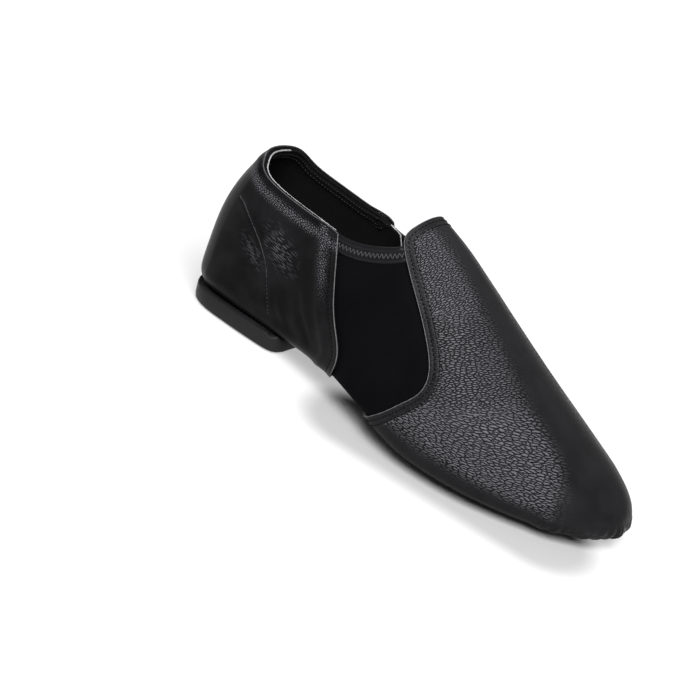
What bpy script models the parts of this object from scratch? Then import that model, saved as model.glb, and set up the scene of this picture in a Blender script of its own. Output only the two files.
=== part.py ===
# Split-sole slip-on dance shoe for the right foot, built over one last function.
# Toe towards +X, inner side of the foot towards +Y, floor at Z = 0.
import functools
import math
from collections import namedtuple

import bmesh
import bpy
from mathutils import Matrix, Vector

# Driving sizes of the last, in metres
LENGTH = 0.240
BALL_WIDTH = 0.0868
INSTEP_HEIGHT = 0.0935
HEEL_HEIGHT = 0.0815

# Sheets and clearances
SOCK_WALL = 0.0016
LEATHER = 0.0012
BAND_THICKNESS = 0.0009
INSOLE_THICKNESS = 0.0020
GAP = 0.0003
SKIN_GAP = 0.0005
LEATHER_LIFT = SKIN_GAP + LEATHER
BAND_LIFT = SKIN_GAP + BAND_THICKNESS
MERGE = 0.00002

# Sections stand at equal turns from heel back to toe tip, so both ends come out round.
# centre and half_width are shares of BALL_WIDTH, the heights are shares of INSTEP_HEIGHT,
# squareness is the fullness of the lower half.
Section = namedtuple("Section", "centre half_width sole girth crown squareness")
SECTIONS = (
    Section(-0.018, 0.000, 0.150, 0.289, 1.187, 5.0),
    Section(-0.016, 0.190, 0.123, 0.272, 1.182, 5.5),
    Section(-0.009, 0.282, 0.109, 0.265, 1.201, 6.0),
    Section(0.002, 0.311, 0.106, 0.264, 1.210, 6.0),
    Section(0.000, 0.315, 0.106, 0.264, 1.176, 6.0),
    Section(-0.015, 0.361, 0.112, 0.253, 1.073, 4.8),
    Section(-0.045, 0.445, 0.082, 0.221, 0.908, 4.6),
    Section(-0.059, 0.500, 0.045, 0.186, 0.717, 5.0),
    Section(-0.029, 0.492, 0.041, 0.171, 0.523, 5.0),
    Section(0.005, 0.401, 0.042, 0.157, 0.378, 5.0),
    Section(0.028, 0.287, 0.057, 0.141, 0.279, 4.4),
    Section(0.039, 0.149, 0.081, 0.130, 0.198, 3.6),
    Section(0.039, 0.000, 0.109, 0.109, 0.109, 3.0),
)
SECTION_STEP = math.pi / (len(SECTIONS) - 1)
PINCHED_AT_HEEL = {"half_width"}
PINCHED_AT_TOE = {"half_width", "sole", "girth", "crown"}
CROWN_SQUARENESS = 2.0

# The heel back leans forward above the girth, fading out along the foot
LEAN_START = 0.040
LEAN_RISE = 0.040
LEAN_TOP = 0.0122
LEAN_POWER = 2.0
LEAN_REACH = 0.070

# Collar edge: place along the foot as a share of LENGTH, height as a share of HEEL_HEIGHT
Height = namedtuple("Height", "place height")
TOPLINE = (
    Height(0.000, 1.010),
    Height(0.020, 1.002),
    Height(0.040, 0.972),
    Height(0.075, 0.922),
    Height(0.120, 0.897),
    Height(0.200, 0.874),
    Height(0.290, 0.860),
    Height(0.325, 0.862),
    Height(0.350, 0.880),
    Height(0.385, 0.920),
    Height(0.430, 0.985),
)
TAB_PLACE = 0.438

# Edges of the leather: girth share from sole centre (0) to crown (1), place along the foot
Edge = namedtuple("Edge", "girth place")
QUARTER_EDGE = (
    Edge(0.000, 0.380),
    Edge(0.100, 0.388),
    Edge(0.200, 0.402),
    Edge(0.280, 0.417),
    Edge(0.330, 0.419),
    Edge(0.367, 0.410),
    Edge(0.398, 0.386),
    Edge(0.441, 0.363),
    Edge(0.505, 0.342),
    Edge(0.604, 0.312),
    Edge(0.650, 0.297),
)
VAMP_EDGE = (
    Edge(0.000, 0.450),
    Edge(0.120, 0.463),
    Edge(0.220, 0.495),
    Edge(0.342, 0.548),
    Edge(0.408, 0.567),
    Edge(0.472, 0.587),
    Edge(0.512, 0.600),
    Edge(0.555, 0.611),
    Edge(0.596, 0.612),
    Edge(0.625, 0.607),
    Edge(0.654, 0.593),
    Edge(0.685, 0.567),
    Edge(0.724, 0.525),
    Edge(0.756, 0.482),
    Edge(0.789, 0.447),
    Edge(0.805, 0.434),
    Edge(0.825, 0.428),
    Edge(0.860, 0.427),
    Edge(0.930, 0.432),
    Edge(1.000, 0.437),
)
VAMP_CORNER = 0.24
EDGE_SAMPLES = 160
EDGE_TURN_WEIGHT = 0.012
GIRTH_SAMPLES = 72
NORMAL_STEP = 0.01
NORMAL_END_TURN = 0.04
NORMAL_END_ANGLE = 0.02

# Openings under the foot, closed by the two rubber soles
Opening = namedtuple("Opening", "rear front margin")
HEEL_OPENING = Opening(0.050, 0.230, 0.0090)
FOREFOOT_OPENING = Opening(0.580, 0.915, 0.0165)
OPENING_ROUND = 2.6

# Columns: start place, steps to the next place, eased towards both ends
Span = namedtuple("Span", "place steps eased")
HEEL_SPANS = (
    Span(0.0, 3, False),
    Span(HEEL_OPENING.rear, 6, True),
    Span(HEEL_OPENING.front, 0, False),
)
WAIST_SPANS = (
    Span(HEEL_OPENING.front, 5, False),
    Span(TAB_PLACE, 4, False),
    Span(FOREFOOT_OPENING.rear, 0, False),
)
FOREFOOT_SPANS = (
    Span(FOREFOOT_OPENING.rear, 8, True),
    Span(FOREFOOT_OPENING.front, 4, False),
    Span(1.0, 0, False),
)
VAMP_REAR_STEPS = 3
VAMP_JOIN = 2
QUARTER_FRONT_STEPS = 7

# Rows of a half section: sole to lower corner, corner to collar, collar to crown
CORNER_ANGLE = math.radians(45.0)
ROWS_BELOW = 4
ROWS_ABOVE = 12
ROWS_CORNER = 3
ROWS_CROWN = 5
SIDE_ROWS = ROWS_BELOW + ROWS_ABOVE
ALL_ROWS = SIDE_ROWS + ROWS_CROWN
BELOW_POWER = 1.8
ABOVE_POWER = 1.5
BAND_COLUMNS = 10
BAND_ROWS = 3
BAND_WIDTH = 0.0090
BAND_END_GAP = 0.0006
BAND_SETTLING = 30
BAND_DAMPING = 0.3

# Rubber soles
FOREFOOT_REAR = 0.545
FOREFOOT_FRONT = 0.942
FOREFOOT_MARGIN = 0.0095
FOREFOOT_ROUND = 3.0
FOREFOOT_CORE_INSET = 0.014
SPRING_START = 0.870
SPRING_RISE = 0.0012
HEEL_REAR = -0.003
HEEL_FRONT = 0.268
HEEL_ROUND = 7.0
HEEL_FLARE = 0.0006
HEEL_MARGIN = -0.0010
HEEL_RIM = 0.0016
HEEL_CUP = (0.18, 0.33, 0.55)
PLUG_CLEARANCE = 0.0022
PLUG_DRAFT = 0.0004
EDGE_BEVEL = 0.0012
TOP_BEVEL = 0.0006
ROUNDING = 0.3
OUTLINE_STEPS = 22
SLOPE_STEP = 0.0005

# Insole
INSOLE_REAR = 0.030
INSOLE_FRONT = 0.955
INSOLE_MARGIN = 0.0050
INSOLE_ROUND = 3.0
INSOLE_BLUNT = 0.985
INSOLE_COLUMNS = 18
INSOLE_ROWS = 4

# Colour and roughness of each material
Finish = namedtuple("Finish", "color roughness")
FINISHES = {
    "stretch_cloth": Finish((0.018, 0.018, 0.020), 0.80),
    "leather": Finish((0.022, 0.022, 0.024), 0.42),
    "leather_quarter": Finish((0.020, 0.020, 0.022), 0.45),
    "band_cloth": Finish((0.020, 0.020, 0.022), 0.85),
    "rubber": Finish((0.024, 0.024, 0.025), 0.60),
    "heel_rubber": Finish((0.016, 0.016, 0.017), 0.60),
    "insole_cloth": Finish((0.030, 0.030, 0.032), 0.90),
}

COLLECTION = "dance_shoe"


def lerp(a, b, t):
    return a + (b - a) * t


def ease(t):
    return 0.5 - 0.5 * math.cos(math.pi * min(max(t, 0.0), 1.0))


def superellipse(s, power):
    return max(0.0, 1.0 - abs(s) ** power) ** (1.0 / power)


# Smooth curve through a two-column table
def along(rows, place):
    if place <= rows[0][0]:
        return rows[0][1]
    if place >= rows[-1][0]:
        return rows[-1][1]
    i = max(k for k in range(len(rows) - 1) if rows[k][0] <= place)

    def slope(k):
        a = rows[max(k - 1, 0)]
        b = rows[min(k + 1, len(rows) - 1)]
        return (b[1] - a[1]) / (b[0] - a[0])

    width = rows[i + 1][0] - rows[i][0]
    t = (place - rows[i][0]) / width
    rise = rows[i + 1][1] - rows[i][1]
    start = slope(i) * width
    end = slope(i + 1) * width
    return rows[i][1] + t * (start + t * (3 * rise - 2 * start - end + t * (start + end - 2 * rise)))


# The last
def row_value(name, index):
    last = len(SECTIONS) - 1
    if index < 0:
        value = getattr(SECTIONS[-index], name)
        return -value if name in PINCHED_AT_HEEL else value
    if index > last:
        value = getattr(SECTIONS[2 * last - index], name)
        tip = getattr(SECTIONS[last], name)
        return 2 * tip - value if name in PINCHED_AT_TOE else value
    return getattr(SECTIONS[index], name)


def section_value(name, turn):
    place = turn / SECTION_STEP
    index = min(int(place), len(SECTIONS) - 2)
    t = place - index
    a, b, c, d = (row_value(name, index + k) for k in (-1, 0, 1, 2))
    return b + 0.5 * t * (c - a + t * (2 * a - 5 * b + 4 * c - d + t * (3 * (b - c) + d - a)))


@functools.lru_cache(maxsize=None)
def section(turn):
    return Section(
        section_value("centre", turn) * BALL_WIDTH,
        section_value("half_width", turn) * BALL_WIDTH,
        section_value("sole", turn) * INSTEP_HEIGHT,
        section_value("girth", turn) * INSTEP_HEIGHT,
        section_value("crown", turn) * INSTEP_HEIGHT,
        section_value("squareness", turn),
    )


def turn_at(place):
    return math.acos(min(max(1.0 - 2.0 * place, -1.0), 1.0))


def place_at(turn):
    return 0.5 - 0.5 * math.cos(turn)


def lean(x, z):
    if x >= LEAN_REACH or z <= LEAN_START:
        return 0.0
    return (1.0 - x / LEAN_REACH) ** 2 * LEAN_TOP * ((z - LEAN_START) / LEAN_RISE) ** LEAN_POWER


# Half section at an angle from the sole centre (0) to the crown (pi): distance out, height
def profile(turn, angle):
    here = section(turn)
    s = abs(math.sin(angle))
    c = math.cos(angle)
    power = here.squareness if c > 0 else CROWN_SQUARENESS
    reach = (s ** power + abs(c) ** power) ** (-1.0 / power)
    depth = here.girth - here.sole if c > 0 else here.crown - here.girth
    return here.half_width * reach * s, here.girth - reach * c * depth


def last_point(turn, angle, side):
    out, z = profile(turn, angle)
    x = place_at(turn) * LENGTH
    return Vector((x + lean(x, z), section(turn).centre + side * out, z))


# Outward direction, kept in the middle plane at the heel back, crown, sole centre and toe tip
def outward(turn, angle, side):
    step = NORMAL_STEP
    if turn > math.pi - step:
        return Vector((1.0, 0.0, 0.0))
    near_turn = min(max(turn, NORMAL_END_TURN), math.pi - NORMAL_END_TURN)
    near_angle = min(max(angle, NORMAL_END_ANGLE), math.pi - NORMAL_END_ANGLE)
    behind = last_point(near_turn - step, near_angle, side)
    ahead = last_point(near_turn + step, near_angle, side)
    below = last_point(near_turn, near_angle - step, side)
    above = last_point(near_turn, near_angle + step, side)
    normal = (ahead - behind).cross(above - below) * -side
    if turn < step or angle < step or angle > math.pi - step:
        normal.y = 0.0
    return normal.normalized()


def skin(turn, angle, side, lift):
    return last_point(turn, angle, side) + lift * outward(turn, angle, side)


# Girth shares: equal lengths along a half section
@functools.lru_cache(maxsize=None)
def girth_lengths(turn):
    lengths = [0.0]
    before = Vector(profile(turn, 0.0))
    for k in range(1, GIRTH_SAMPLES + 1):
        point = Vector(profile(turn, math.pi * k / GIRTH_SAMPLES))
        lengths.append(lengths[-1] + (point - before).length)
        before = point
    return lengths


def angle_of_girth(turn, girth):
    lengths = girth_lengths(turn)
    if lengths[-1] < MERGE:
        return math.pi * girth
    target = girth * lengths[-1]
    k = max(j for j in range(GIRTH_SAMPLES) if lengths[j] <= target + MERGE * MERGE)
    t = (target - lengths[k]) / max(lengths[k + 1] - lengths[k], MERGE * MERGE)
    return math.pi * (k + min(t, 1.0)) / GIRTH_SAMPLES


def girth_of_angle(turn, angle):
    lengths = girth_lengths(turn)
    place = angle / math.pi * GIRTH_SAMPLES
    k = min(int(place), GIRTH_SAMPLES - 1)
    if lengths[-1] < MERGE:
        return angle / math.pi
    return lerp(lengths[k], lengths[k + 1], place - k) / lengths[-1]


def girth_of_height(turn, z):
    here = section(turn)
    rise = min(max((z - here.girth) / (here.crown - here.girth), 0.0), 1.0)
    return girth_of_angle(turn, math.pi - math.acos(rise))


# Girth share at a distance out along the sole, as a share of the half width
def girth_of_floor(turn, out):
    return girth_of_angle(turn, math.atan2(out, superellipse(out, section(turn).squareness)))


def on_skin(turn, girth, side, lift):
    return skin(turn, angle_of_girth(turn, girth), side, lift)


def topline_girth(turn):
    return girth_of_height(turn, along(TOPLINE, place_at(turn)) * HEEL_HEIGHT)


# Girth share where a sheet starts: the edge of an opening, else the sole centre
def opening_girth(turn, openings):
    place = place_at(turn)
    for opening in openings:
        s = 2.0 * (place - opening.rear) / (opening.front - opening.rear) - 1.0
        if abs(s) < 1.0 - MERGE:
            half = section(turn).half_width
            out = (half - opening.margin) / half * superellipse(s, OPENING_ROUND)
            return girth_of_floor(turn, out)
    return 0.0


def stations(spans):
    turns = []
    for here, after in zip(spans, spans[1:]):
        for k in range(here.steps):
            t = k / here.steps
            t = ease(t) if here.eased else t
            turns.append(lerp(turn_at(here.place), turn_at(after.place), t))
    turns.append(turn_at(spans[-1].place))
    return turns


# Girth share of a row; below the lower corner it starts at the edge of an opening
def row_girth(turn, row, openings, collar=None):
    split = topline_girth(min(turn, turn_at(TAB_PLACE))) if collar is None else collar
    if row > SIDE_ROWS:
        return lerp(split, 1.0, (row - SIDE_ROWS) / ROWS_CROWN)
    corner = girth_of_angle(turn, CORNER_ANGLE)
    if row > ROWS_BELOW:
        return lerp(corner, split, ((row - ROWS_BELOW) / ROWS_ABOVE) ** ABOVE_POWER)
    return lerp(opening_girth(turn, openings), corner, 1.0 - (1.0 - row / ROWS_BELOW) ** BELOW_POWER)


# Steps along an edge curve drawn on the skin, closer together where it turns
def edge_girths(table, first, steps):
    girths = [lerp(first, 1.0, k / EDGE_SAMPLES) for k in range(EDGE_SAMPLES + 1)]
    points = [on_skin(turn_at(along(table, g)), g, -1, LEATHER_LIFT) for g in girths]
    spans = [b - a for a, b in zip(points, points[1:])]
    lengths = [0.0]
    for k, span in enumerate(spans):
        lengths.append(lengths[-1] + span.length + EDGE_TURN_WEIGHT * span.angle(spans[max(k - 1, 0)]))
    rows = list(zip(lengths, girths))
    return [along(rows, lengths[-1] * k / steps) for k in range(steps + 1)]


# Materials and meshes
def material(name):
    surface = bpy.data.materials.new(name)
    surface.use_nodes = True
    shader = surface.node_tree.nodes["Principled BSDF"]
    shader.inputs["Base Color"].default_value = (*FINISHES[name].color, 1.0)
    shader.inputs["Roughness"].default_value = FINISHES[name].roughness
    return surface


def add_object(name, bm, surface, collection):
    mesh = bpy.data.meshes.new(name)
    bm.to_mesh(mesh)
    bm.free()
    mesh.materials.append(surface)
    for face in mesh.polygons:
        face.use_smooth = True
    thing = bpy.data.objects.new(name, mesh)
    collection.objects.link(thing)
    return thing


# A grid of points as one sheet, thickened inwards by Solidify
def sheet(name, columns, left_out, thickness, surface, collection):
    bm = bmesh.new()
    grid = [[bm.verts.new(point) for point in column] for column in columns]
    for i in range(len(grid) - 1):
        for j in range(len(grid[i]) - 1):
            if not left_out(i, j):
                bm.faces.new((grid[i][j], grid[i + 1][j], grid[i + 1][j + 1], grid[i][j + 1]))
    loose = [v for v in bm.verts if not v.link_faces]
    bmesh.ops.delete(bm, geom=loose, context="VERTS")
    bmesh.ops.remove_doubles(bm, verts=bm.verts, dist=MERGE)
    thing = add_object(name, bm, surface, collection)
    wall = thing.modifiers.new("wall", "SOLIDIFY")
    wall.thickness = thickness
    wall.offset = -1.0
    wall.use_quality_normals = True
    return thing


# Closed rings from the bottom up, capped at both ends
def stack(name, rings, surface, collection):
    bm = bmesh.new()
    loops = [[bm.verts.new(point) for point in ring] for ring in rings]
    count = len(rings[0])
    for low, high in zip(loops, loops[1:]):
        for k in range(count):
            after = (k + 1) % count
            bm.faces.new((low[k], low[after], high[after], high[k]))
    bm.faces.new(list(reversed(loops[0])))
    bm.faces.new(loops[-1])
    return add_object(name, bm, surface, collection)


def both_sides(steps):
    lateral = [(-1, k) for k in range(steps + 1)]
    medial = [(1, k) for k in range(steps - 1, -1, -1)]
    return lateral + medial


# Hollow sock of the shoe: stretch cloth and lining in one wall
def build_upper(surface, collection):
    heel = stations(HEEL_SPANS)
    waist = stations(WAIST_SPANS)
    turns = heel + waist[1:] + stations(FOREFOOT_SPANS)[1:]
    tab_column = len(heel) - 1 + WAIST_SPANS[0].steps
    rows = both_sides(ALL_ROWS)
    openings = (HEEL_OPENING, FOREFOOT_OPENING)
    columns = [
        [on_skin(turn, row_girth(turn, row, openings), side, 0.0) for side, row in rows]
        for turn in turns
    ]

    def over_collar(i, j):
        return i < tab_column and max(rows[j][1], rows[j + 1][1]) > SIDE_ROWS

    return sheet("upper", columns, over_collar, SOCK_WALL, surface, collection)


# Leather vamp with its instep tab, turned under the forefoot
def build_vamp(surface, collection):
    openings = (FOREFOOT_OPENING,)
    fixed = stations(FOREFOOT_SPANS)
    start = turn_at(VAMP_EDGE[0].place)
    rear = [lerp(start, fixed[0], k / VAMP_REAR_STEPS) for k in range(VAMP_REAR_STEPS)]
    rear += fixed[:VAMP_JOIN]
    join = fixed[VAMP_JOIN]
    under = turn_at(along(VAMP_EDGE, VAMP_CORNER))
    plain_rows = ROWS_BELOW + ROWS_CORNER
    edge = [row_girth(under, row, ()) for row in range(plain_rows)]
    edge += edge_girths(VAMP_EDGE, row_girth(under, plain_rows, ()), ALL_ROWS - plain_rows)
    columns = []
    for share in [(turn - start) / (join - start) for turn in rear]:
        column = []
        for side, row in both_sides(ALL_ROWS):
            turn = lerp(turn_at(along(VAMP_EDGE, edge[row])), join, share)
            girth = row_girth(turn, row, openings)
            if row > plain_rows:
                girth = lerp(edge[row], girth, ease(share))
            column.append(on_skin(turn, girth, side, LEATHER_LIFT))
        columns.append(column)
    for turn in fixed[VAMP_JOIN:]:
        columns.append([
            on_skin(turn, row_girth(turn, row, openings), side, LEATHER_LIFT)
            for side, row in both_sides(ALL_ROWS)
        ])
    return sheet("vamp", columns, lambda i, j: False, LEATHER, surface, collection)


# Leather quarter round the heel, from the inner front edge to the outer one
def build_quarter(surface, collection):
    openings = (HEEL_OPENING,)
    fixed = stations(HEEL_SPANS)
    rows = range(SIDE_ROWS + 1)
    under = turn_at(QUARTER_EDGE[0].place)
    top = topline_girth(turn_at(QUARTER_EDGE[-1].place))
    edge = [row_girth(under, row, (), top) for row in rows]
    half = [[(turn, row_girth(turn, row, openings)) for row in rows] for turn in fixed]
    for k in range(1, QUARTER_FRONT_STEPS + 1):
        share = k / QUARTER_FRONT_STEPS
        column = []
        for row in rows:
            turn = lerp(fixed[-1], turn_at(along(QUARTER_EDGE, edge[row])), share)
            girth = row_girth(turn, row, ())
            if row > ROWS_BELOW:
                girth = lerp(girth, edge[row], ease(share))
            column.append((turn, girth))
        half.append(column)
    wrap = [(1, column) for column in reversed(half)] + [(-1, column) for column in half[1:]]
    columns = [
        [on_skin(turn, girth, side, LEATHER_LIFT) for turn, girth in column] for side, column in wrap
    ]
    return sheet("quarter", columns, lambda i, j: False, LEATHER, surface, collection)


# Folded top band of the stretch cloth, between quarter and vamp
def build_band(name, side, surface, collection):
    end_gap = BAND_END_GAP / LENGTH
    columns = []
    for i in range(BAND_COLUMNS + 1):
        column = []
        for j in range(BAND_ROWS + 1):
            drop = BAND_WIDTH * (1.0 - j / BAND_ROWS)
            place = lerp(QUARTER_EDGE[-1].place, TAB_PLACE, i / BAND_COLUMNS)
            for _ in range(BAND_SETTLING):
                turn = turn_at(place)
                girth = topline_girth(turn) - drop / girth_lengths(turn)[-1]
                rear = along(QUARTER_EDGE, girth) + end_gap
                ahead = along(VAMP_EDGE, girth) - end_gap
                place = lerp(place, lerp(rear, ahead, i / BAND_COLUMNS), BAND_DAMPING)
            turn = turn_at(place)
            girth = topline_girth(turn) - drop / girth_lengths(turn)[-1]
            column.append(on_skin(turn, girth, side, BAND_LIFT))
        columns.append(column)
    if side > 0:
        columns.reverse()
    return sheet(name, columns, lambda i, j: False, BAND_THICKNESS, surface, collection)


# Outline of a sole in plan, going round from the rear along the outer side
def outline(rear, front, margin, rear_round, front_round):
    outer = []
    inner = []
    for k in range(OUTLINE_STEPS + 1):
        s = -math.cos(math.pi * k / OUTLINE_STEPS)
        place = lerp(rear, front, 0.5 * (s + 1.0))
        here = section(turn_at(lerp(max(rear, 0.0), front, 0.5 * (s + 1.0))))
        half = (here.half_width - margin) * superellipse(s, rear_round if s < 0 else front_round)
        outer.append((place * LENGTH, here.centre - half))
        inner.append((place * LENGTH, here.centre + half))
    return outer + inner[-2:0:-1]


# Outline of the raised middle of a sole, standing in its opening
def plug_outline(opening):
    clear = PLUG_CLEARANCE / LENGTH
    return outline(
        opening.rear + clear, opening.front - clear, opening.margin + PLUG_CLEARANCE,
        OPENING_ROUND, OPENING_ROUND,
    )


def inset(loop, distance):
    moved = []
    for k, (x, y) in enumerate(loop):
        ahead = loop[(k + 1) % len(loop)]
        behind = loop[k - 1]
        run = math.hypot(ahead[0] - behind[0], ahead[1] - behind[1])
        moved.append((
            x - distance * (ahead[1] - behind[1]) / run,
            y + distance * (ahead[0] - behind[0]) / run,
        ))
    return moved


# Height of the last over a point of the floor
def sole_height(x, y):
    here = section(turn_at(x / LENGTH))
    out = min(abs(y - here.centre) / max(here.half_width, MERGE), 1.0)
    return here.girth - (here.girth - here.sole) * superellipse(out, here.squareness)


# Height a sole reaches up to, under the leather
def bed_height(x, y):
    step = SLOPE_STEP
    across = (sole_height(x, y + step) - sole_height(x, y - step)) / (2 * step)
    ahead = (sole_height(x + step, y) - sole_height(x - step, y)) / (2 * step)
    return sole_height(x, y) - (LEATHER_LIFT + GAP) * math.hypot(1.0, across, ahead)


# Loop part of the way from an outer loop to an inner one
def between(outer, inner, share):
    return [(lerp(a[0], b[0], share), lerp(a[1], b[1], share)) for a, b in zip(outer, inner)]


def spring_height(x):
    over = max(0.0, x / LENGTH - SPRING_START) / (FOREFOOT_FRONT - SPRING_START)
    return SPRING_RISE * over * over


def ring(loop, height):
    return [Vector((x, y, height(x, y))) for x, y in loop]


def build_forefoot(surface, collection):
    plan = outline(FOREFOOT_REAR, FOREFOOT_FRONT, FOREFOOT_MARGIN, FOREFOOT_ROUND, FOREFOOT_ROUND)
    plug = plug_outline(FOREFOOT_OPENING)
    plug_top = min(section(turn).sole for turn in stations(FOREFOOT_SPANS)) + SOCK_WALL
    low = ROUNDING * EDGE_BEVEL
    rings = [
        ring(inset(plan, FOREFOOT_CORE_INSET), lambda x, y: 0.0),
        ring(inset(plan, EDGE_BEVEL), lambda x, y: spring_height(x)),
        ring(inset(plan, low), lambda x, y: spring_height(x) + low),
        ring(plan, lambda x, y: spring_height(x) + EDGE_BEVEL),
        ring(inset(plan, TOP_BEVEL), bed_height),
        ring(plug, bed_height),
        ring(inset(plug, PLUG_DRAFT), lambda x, y: plug_top),
    ]
    return stack("forefoot_sole", rings, surface, collection)


# Heel pad with a low rim, cupped to follow the leather
def build_heel(surface, collection):
    plan = outline(HEEL_REAR, HEEL_FRONT, HEEL_MARGIN, HEEL_ROUND, HEEL_ROUND)
    plug = plug_outline(HEEL_OPENING)
    seat = section(turn_at(0.5 * HEEL_FRONT)).sole
    seat_top = seat - LEATHER_LIFT - GAP
    low = ROUNDING * EDGE_BEVEL

    def cup(x, y):
        return min(max(bed_height(x, y), seat_top), seat_top + HEEL_RIM)

    rings = [
        ring(inset(plan, EDGE_BEVEL), lambda x, y: 0.0),
        ring(inset(plan, low), lambda x, y: low),
        ring(plan, lambda x, y: EDGE_BEVEL),
        ring(inset(plan, -HEEL_FLARE), lambda x, y: cup(x, y) - EDGE_BEVEL),
        ring(inset(plan, low - HEEL_FLARE), lambda x, y: cup(x, y) - low),
        ring(inset(plan, EDGE_BEVEL - HEEL_FLARE), cup),
    ]
    rings += [ring(between(plan, plug, share), cup) for share in HEEL_CUP]
    rings += [
        ring(plug, cup),
        ring(inset(plug, PLUG_DRAFT), lambda x, y: seat + SOCK_WALL),
    ]
    return stack("heel_sole", rings, surface, collection)


def build_insole(surface, collection):
    columns = []
    rows = [(1, k) for k in range(INSOLE_ROWS, 0, -1)] + [(-1, k) for k in range(INSOLE_ROWS + 1)]
    for i in range(INSOLE_COLUMNS + 1):
        s = -INSOLE_BLUNT * math.cos(math.pi * i / INSOLE_COLUMNS)
        turn = turn_at(lerp(INSOLE_REAR, INSOLE_FRONT, 0.5 * (s + 1.0)))
        half = section(turn).half_width
        out = (half - INSOLE_MARGIN) / half * superellipse(s, INSOLE_ROUND)
        reach = girth_of_floor(turn, out)
        columns.append([
            on_skin(turn, reach * k / INSOLE_ROWS, side, -SOCK_WALL - SKIN_GAP) for side, k in rows
        ])
    return sheet("insole", columns, lambda i, j: False, INSOLE_THICKNESS, surface, collection)


# Origin to the middle of the footprint on the floor
def settle(things):
    bpy.context.view_layer.update()
    graph = bpy.context.evaluated_depsgraph_get()
    corners = [Vector(c) for thing in things for c in thing.evaluated_get(graph).bound_box]
    low = [min(c[k] for c in corners) for k in range(3)]
    high = [max(c[k] for c in corners) for k in range(3)]
    move = Matrix.Translation((-0.5 * (low[0] + high[0]), -0.5 * (low[1] + high[1]), -low[2]))
    for thing in things:
        thing.data.transform(move)


def build():
    for thing in list(bpy.data.objects):
        bpy.data.objects.remove(thing, do_unlink=True)
    collection = bpy.data.collections.new(COLLECTION)
    bpy.context.scene.collection.children.link(collection)
    surfaces = {name: material(name) for name in FINISHES}
    settle([
        build_upper(surfaces["stretch_cloth"], collection),
        build_vamp(surfaces["leather"], collection),
        build_quarter(surfaces["leather_quarter"], collection),
        build_band("gore_band_lateral", -1, surfaces["band_cloth"], collection),
        build_band("gore_band_medial", 1, surfaces["band_cloth"], collection),
        build_forefoot(surfaces["rubber"], collection),
        build_heel(surfaces["heel_rubber"], collection),
        build_insole(surfaces["insole_cloth"], collection),
    ])


build()
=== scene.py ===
import math
import random

import bmesh
import bpy
from mathutils import Matrix, Vector, kdtree
from mathutils.bvhtree import BVHTree


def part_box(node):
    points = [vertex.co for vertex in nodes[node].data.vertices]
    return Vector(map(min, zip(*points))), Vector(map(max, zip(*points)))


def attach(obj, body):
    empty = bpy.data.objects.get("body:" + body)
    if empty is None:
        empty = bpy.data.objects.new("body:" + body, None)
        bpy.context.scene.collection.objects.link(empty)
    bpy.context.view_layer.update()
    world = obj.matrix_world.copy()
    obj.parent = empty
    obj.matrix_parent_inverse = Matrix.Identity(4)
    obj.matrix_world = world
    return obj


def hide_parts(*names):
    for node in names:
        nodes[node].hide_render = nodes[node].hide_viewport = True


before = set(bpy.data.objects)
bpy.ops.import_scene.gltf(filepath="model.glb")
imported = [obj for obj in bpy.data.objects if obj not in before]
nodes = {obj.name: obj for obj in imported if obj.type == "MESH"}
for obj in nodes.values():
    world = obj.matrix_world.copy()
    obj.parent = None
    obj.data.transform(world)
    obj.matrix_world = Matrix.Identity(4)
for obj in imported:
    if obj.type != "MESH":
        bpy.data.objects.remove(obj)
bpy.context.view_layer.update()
mm = 0.001
print("frame loaded")


# picking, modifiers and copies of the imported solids
def pick(piece):
    bpy.ops.object.select_all(action="DESELECT")
    piece.select_set(True)
    bpy.context.view_layer.objects.active = piece


def applyModifier(piece, kind, **settings):
    pick(piece)
    modifier = piece.modifiers.new(kind.lower(), kind)
    for name, value in settings.items():
        setattr(modifier, name, value)
    bpy.ops.object.modifier_apply(modifier=modifier.name)


def subdivide(piece, levels):
    applyModifier(piece, "SUBSURF", levels=levels, render_levels=levels, boundary_smooth="PRESERVE_CORNERS")


def thicken(piece, wall, **settings):
    applyModifier(piece, "SOLIDIFY", thickness=wall * mm, offset=-1.0, **settings)


def smooth(piece, angle=40):
    pick(piece)
    bpy.ops.object.shade_smooth_by_angle(angle=math.radians(angle))


# edit mode with only the faces or points that a test picks
def editChosen(piece, kind, chosen):
    pick(piece)
    bpy.ops.object.mode_set(mode="EDIT")
    bpy.ops.mesh.select_mode(type=kind)
    bpy.ops.mesh.select_all(action="DESELECT")
    bpy.ops.object.mode_set(mode="OBJECT")
    for part in piece.data.polygons if kind == "FACE" else piece.data.vertices:
        part.select = chosen(part)
    bpy.ops.object.mode_set(mode="EDIT")


def blendStep(low, high, value):
    t = min(max((value - low) / (high - low), 0.0), 1.0)
    return t * t * (3 - 2 * t)


# set of the soft collar, in mm: the inner gore sags, the tab stands back and has squarer corners
collarSet = {
    "sag": 5.5, "sagFrom": (-52, -38), "sagTo": (-22, -10), "sagHeight": (46, 66), "sagSide": (4, 14),
    "tabBack": 1.4, "tabFrom": (2, 16), "tabHeight": (76, 84), "tabRear": -30,
    "corner": (-17.0, 17.5, 84.5), "cornerReach": 5.5, "cornerBack": 1.5, "cornerUp": 0.8}


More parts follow.
